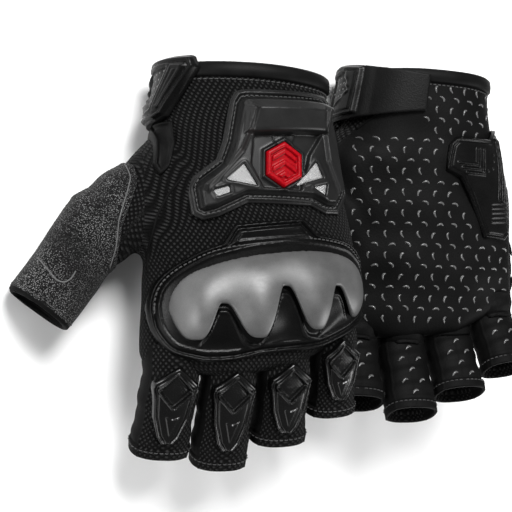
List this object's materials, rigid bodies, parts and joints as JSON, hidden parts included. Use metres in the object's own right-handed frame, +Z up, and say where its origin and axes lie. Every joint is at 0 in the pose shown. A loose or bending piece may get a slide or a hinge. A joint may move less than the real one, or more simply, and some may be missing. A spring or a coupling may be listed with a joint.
{
  "type": "pair of riding gloves",
  "caption": "Pair of half-finger riding gloves with knit backs, a domed hard knuckle guard, moulded finger guards, palm slider and wrist straps.",
  "frame": {"origin": "centre of the pair's footprint on the surface it lies on", "axes": "+X across the hands from the left glove to the right glove, +Y towards the wrists, +Z up off the surface"},
  "size_m": [0.2686, 0.1972, 0.0838],
  "materials": {
    "knit": "open-mesh matt knit",
    "palm_leather": "matt synthetic leather with raised gloss grip marks",
    "neoprene": "smooth matt rubber sheet",
    "loop_pile": "loop pile",
    "hook_pile": "hook pile",
    "moulded_rubber": "satin moulded rubber",
    "gunmetal_shell": "satin gunmetal paint over hard plastic",
    "foam": "soft foam",
    "silver_mesh": "fine mesh",
    "red_badge": "satin red",
    "fourchette": "smooth stretch fabric",
    "strap_leather": "stitched synthetic leather",
    "perforated_leather": "perforated",
    "suede": "grained suede"
  },
  "bodies": {
    "left_hand": {"left_back_panel": "knit", "left_palm_panel": "palm_leather", "left_cuff_binding": "neoprene", "left_wrist_lining": "neoprene", "left_loop_patch": "loop_pile", "left_knuckle_base": "moulded_rubber", "left_knuckle_shell": "gunmetal_shell", "left_knuckle_foam": "foam", "left_back_plate": "moulded_rubber", "left_plate_mesh": "silver_mesh", "left_badge": "red_badge", "left_palm_slider": "moulded_rubber", "left_palm_pad": "foam", "left_finger_webs": "fourchette"},
    "left_index_finger": {"left_index_sleeve": "knit", "left_index_guard": "moulded_rubber"},
    "left_middle_finger": {"left_middle_sleeve": "knit", "left_middle_guard": "moulded_rubber"},
    "left_ring_finger": {"left_ring_sleeve": "knit", "left_ring_guard": "moulded_rubber"},
    "left_little_finger": {"left_little_sleeve": "knit", "left_little_guard": "moulded_rubber"},
    "left_thumb": {"left_thumb_sleeve": "knit", "left_thumb_patch": "suede"},
    "left_strap_tab": {"left_strap": "strap_leather", "left_strap_frame": "moulded_rubber", "left_strap_insert": "perforated_leather", "left_hook_patch": "hook_pile"},
    "right_hand": {"right_back_panel": "knit", "right_palm_panel": "palm_leather", "right_cuff_binding": "neoprene", "right_wrist_lining": "neoprene", "right_loop_patch": "loop_pile", "right_knuckle_base": "moulded_rubber", "right_knuckle_shell": "gunmetal_shell", "right_knuckle_foam": "foam", "right_back_plate": "moulded_rubber", "right_plate_mesh": "silver_mesh", "right_badge": "red_badge", "right_palm_slider": "moulded_rubber", "right_palm_pad": "foam", "right_finger_webs": "fourchette"},
    "right_index_finger": {"right_index_sleeve": "knit", "right_index_guard": "moulded_rubber"},
    "right_middle_finger": {"right_middle_sleeve": "knit", "right_middle_guard": "moulded_rubber"},
    "right_ring_finger": {"right_ring_sleeve": "knit", "right_ring_guard": "moulded_rubber"},
    "right_little_finger": {"right_little_sleeve": "knit", "right_little_guard": "moulded_rubber"},
    "right_thumb": {"right_thumb_sleeve": "knit", "right_thumb_patch": "suede"},
    "right_strap_tab": {"right_strap": "strap_leather", "right_strap_frame": "moulded_rubber", "right_strap_insert": "perforated_leather", "right_hook_patch": "hook_pile"}
  },
  "joints": [
    {"name": "left_index_curl", "type": "hinge", "parent": "left_hand", "child": "left_index_finger", "pos_m": [-0.0644, -0.05598, 0.02553], "axis": [0.9362, -0.0519, 0.3475], "range_deg": [-22, 45]},
    {"name": "left_middle_curl", "type": "hinge", "parent": "left_hand", "child": "left_middle_finger", "pos_m": [-0.03949, -0.05796, 0.03486], "axis": [0.9397, 0, 0.342], "range_deg": [-22, 45]},
    {"name": "left_ring_curl", "type": "hinge", "parent": "left_hand", "child": "left_ring_finger", "pos_m": [-0.01452, -0.05399, 0.04343], "axis": [0.9406, 0.0519, 0.3356], "range_deg": [-22, 45]},
    {"name": "left_little_curl", "type": "hinge", "parent": "left_hand", "child": "left_little_finger", "pos_m": [0.00925, -0.04308, 0.05065], "axis": [0.9389, 0.1037, 0.3282], "range_deg": [-22, 45]},
    {"name": "left_thumb_spread", "type": "hinge", "parent": "left_hand", "child": "left_thumb", "pos_m": [-0.07662, 0.05055, 0.01875], "axis": [0.3395, -0.1219, -0.9327], "range_deg": [0, 18]},
    {"name": "left_strap_open", "type": "hinge", "parent": "left_hand", "child": "left_strap_tab", "pos_m": [-0.03256, 0.06451, 0.00294], "axis": [-0.0417, -0.9925, 0.1145], "range_deg": [0, 35]},
    {"name": "right_index_curl", "type": "hinge", "parent": "right_hand", "child": "right_index_finger", "pos_m": [0.04619, -0.04013, 0.03731], "axis": [-0.9035, 0.0522, -0.4253], "range_deg": [-24, 45]},
    {"name": "right_middle_curl", "type": "hinge", "parent": "right_hand", "child": "right_middle_finger", "pos_m": [0.07024, -0.04213, 0.04868], "axis": [-0.9063, 0, -0.4226], "range_deg": [-24, 45]},
    {"name": "right_ring_curl", "type": "hinge", "parent": "right_hand", "child": "right_ring_finger", "pos_m": [0.09428, -0.03813, 0.05958], "axis": [-0.9066, -0.0522, -0.4187], "range_deg": [-24, 45]},
    {"name": "right_little_curl", "type": "hinge", "parent": "right_hand", "child": "right_little_finger", "pos_m": [0.11708, -0.02716, 0.06937], "axis": [-0.9044, -0.1043, -0.4137], "range_deg": [-24, 45]},
    {"name": "right_thumb_spread", "type": "hinge", "parent": "right_hand", "child": "right_thumb", "pos_m": [0.04136, 0.06486, 0.01501], "axis": [0.4216, -0.0698, -0.9041], "range_deg": [0, 18]},
    {"name": "right_strap_open", "type": "hinge", "parent": "right_hand", "child": "right_strap_tab", "pos_m": [0.0627, 0.08427, 0.05444], "axis": [0.0295, 0.9976, -0.0632], "range_deg": [0, 35]},
    {"name": "pair_separation", "type": "slide", "parent": "left_hand", "child": "right_hand", "axis": [1, 0, 0], "range_m": [0, 0.12]}
  ]
}
